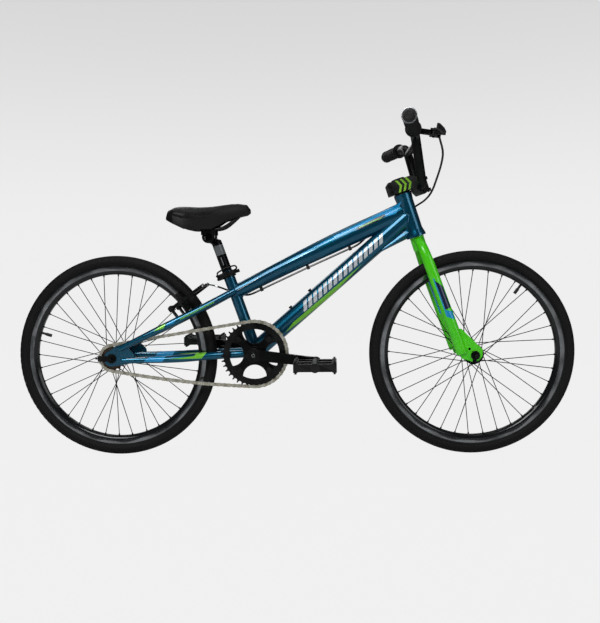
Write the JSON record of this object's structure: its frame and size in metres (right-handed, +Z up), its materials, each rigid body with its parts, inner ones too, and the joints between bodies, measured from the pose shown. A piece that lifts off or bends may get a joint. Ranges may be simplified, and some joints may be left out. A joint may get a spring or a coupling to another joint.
{
  "type": "bmx bike",
  "caption": "Small rigid race bike with a hydroformed frame, straight fork, high crossbar handlebar, single-speed chain drive and a rear rim brake.",
  "frame": {"origin": "on the ground midway between the two axles, in the middle plane", "axes": "+X forwards, +Y to the rider's left, +Z up"},
  "size_m": [1.394, 0.5904, 0.7962],
  "materials": {
    "frame_paint": "deep teal metallic paint under clear coat",
    "fork_paint": "bright green gloss paint",
    "bearing_steel": "ground",
    "black_alloy": "black anodised",
    "stem_alloy": "dark grey painted",
    "black_steel": "black oxide",
    "bright_steel": "polished",
    "ring_alloy": "satin",
    "housing": "satin extruded housing",
    "black_plastic": "moulded",
    "grip_rubber": "soft, ribbed",
    "tyre_rubber": "matt",
    "rim_alloy": "machined brake track over black",
    "spoke_steel": "dark plated",
    "cog_steel": "brown treated",
    "chain_steel": "oiled",
    "saddle_cover": "black synthetic leather"
  },
  "bodies": {
    "frame": {"head_tube": "frame_paint", "top_tube": "frame_paint", "down_tube": "frame_paint", "seat_tube": "frame_paint", "bb_shell": "frame_paint", "chain_stays": "frame_paint", "seat_stays": "frame_paint", "rear_dropouts": "frame_paint", "headset_bearings": "bearing_steel", "bb_bearings": "bearing_steel", "seat_clamp": "black_alloy", "rear_axle": "black_steel", "chain_tensioners": "black_alloy", "chain": "chain_steel", "cable_guides": "black_plastic", "brake_cable_rear": "housing", "bottle_bolts": "black_steel"},
    "steering": {"fork_steerer": "fork_paint", "fork_legs": "fork_paint", "fork_dropouts": "fork_paint", "headset_cover": "black_alloy", "stem": "stem_alloy", "stem_faceplate": "black_alloy", "stem_bolts": "black_steel", "handlebar": "black_alloy", "grips": "grip_rubber", "bar_end_plugs": "ring_alloy", "brake_lever_bracket": "black_alloy", "front_axle": "black_steel", "brake_cable_front": "housing"},
    "front_wheel": {"front_tyre": "tyre_rubber", "front_inner_tube": "tyre_rubber", "front_rim": "rim_alloy", "front_spokes": "spoke_steel", "front_hub": "black_alloy"},
    "rear_wheel": {"rear_tyre": "tyre_rubber", "rear_inner_tube": "tyre_rubber", "rear_rim": "rim_alloy", "rear_spokes": "spoke_steel", "rear_hub": "black_alloy"},
    "freewheel": {"freewheel_cog": "cog_steel"},
    "crankset": {"chainring": "black_alloy", "right_crank": "black_alloy", "left_crank": "black_alloy", "bb_spindle": "black_steel", "crank_bolts": "bright_steel", "pedal_axles": "black_steel"},
    "pedal_right": {"right_pedal": "black_plastic"},
    "pedal_left": {"left_pedal": "black_plastic"},
    "brake_lever": {"brake_lever_blade": "black_alloy"},
    "brake_arm_right": {"right_brake_arm": "black_alloy", "right_brake_pad": "grip_rubber"},
    "brake_arm_left": {"left_brake_arm": "black_alloy", "left_brake_pad": "grip_rubber", "brake_noodle": "bright_steel"},
    "seat_clamp_lever": {"seat_clamp_lever": "black_alloy"},
    "seatpost": {"seatpost": "black_alloy"},
    "saddle": {"saddle_clamp": "black_alloy", "saddle_rails": "black_steel", "saddle": "saddle_cover"}
  },
  "joints": [
    {"name": "steering", "type": "hinge", "parent": "frame", "child": "steering", "pos_m": [0.40786, 0, 0.24126], "axis": [-0.309, 0, 0.9511], "range_deg": [-80, 80], "deforming": ["brake_cable_front"]},
    {"name": "front_wheel", "type": "hinge", "parent": "steering", "child": "front_wheel", "pos_m": [0.444, 0, 0.253], "axis": [0, 1, 0], "continuous": true},
    {"name": "rear_wheel", "type": "hinge", "parent": "frame", "child": "rear_wheel", "pos_m": [-0.444, 0, 0.253], "axis": [0, 1, 0], "continuous": true},
    {"name": "crankset", "type": "hinge", "parent": "frame", "child": "crankset", "pos_m": [-0.09197, 0, 0.26], "axis": [0, 1, 0], "continuous": true, "deforming": ["chain"]},
    {"name": "freewheel", "type": "hinge", "parent": "frame", "child": "freewheel", "pos_m": [-0.444, 0, 0.253], "axis": [0, 1, 0], "continuous": true},
    {"name": "pedal_right", "type": "hinge", "parent": "crankset", "child": "pedal_right", "pos_m": [0.0589, 0, 0.24148], "axis": [0, 1, 0], "continuous": true},
    {"name": "pedal_left", "type": "hinge", "parent": "crankset", "child": "pedal_left", "pos_m": [-0.24284, 0, 0.27852], "axis": [0, 1, 0], "continuous": true},
    {"name": "brake_lever", "type": "hinge", "parent": "steering", "child": "brake_lever", "pos_m": [0.33054, -0.15943, 0.76596], "axis": [-0.1877, 0.0341, -0.9816], "range_deg": [0, 20], "stiffness_Nm_per_rad": 0.5, "deforming": ["brake_cable_rear"]},
    {"name": "brake_arm_right", "type": "hinge", "parent": "frame", "child": "brake_arm_right", "pos_m": [-0.28794, -0.042, 0.36144], "axis": [-0.5878, 0, 0.809], "range_deg": [0, 3]},
    {"name": "brake_arm_left", "type": "hinge", "parent": "frame", "child": "brake_arm_left", "pos_m": [-0.28794, 0.042, 0.36144], "axis": [0.5878, 0, -0.809], "range_deg": [0, 3]},
    {"name": "seat_clamp_lever", "type": "hinge", "parent": "frame", "child": "seat_clamp_lever", "pos_m": [-0.18142, -0.015, 0.4476], "axis": [0.3256, 0, -0.9455], "range_deg": [0, 120]},
    {"name": "seatpost", "type": "slide", "parent": "frame", "child": "seatpost", "axis": [-0.3256, 0, 0.9455], "range_m": [-0.05, 0.05]},
    {"name": "saddle_tilt", "type": "hinge", "parent": "seatpost", "child": "saddle", "pos_m": [-0.20394, 0, 0.54844], "axis": [0, 1, 0], "range_deg": [-10, 10]}
  ],
  "couplings": [
    {"joint": "freewheel", "follows": "crankset", "ratio": 2.5},
    {"joint": "brake_arm_right", "follows": "brake_lever", "ratio": 0.15},
    {"joint": "brake_arm_left", "follows": "brake_lever", "ratio": 0.15}
  ]
}
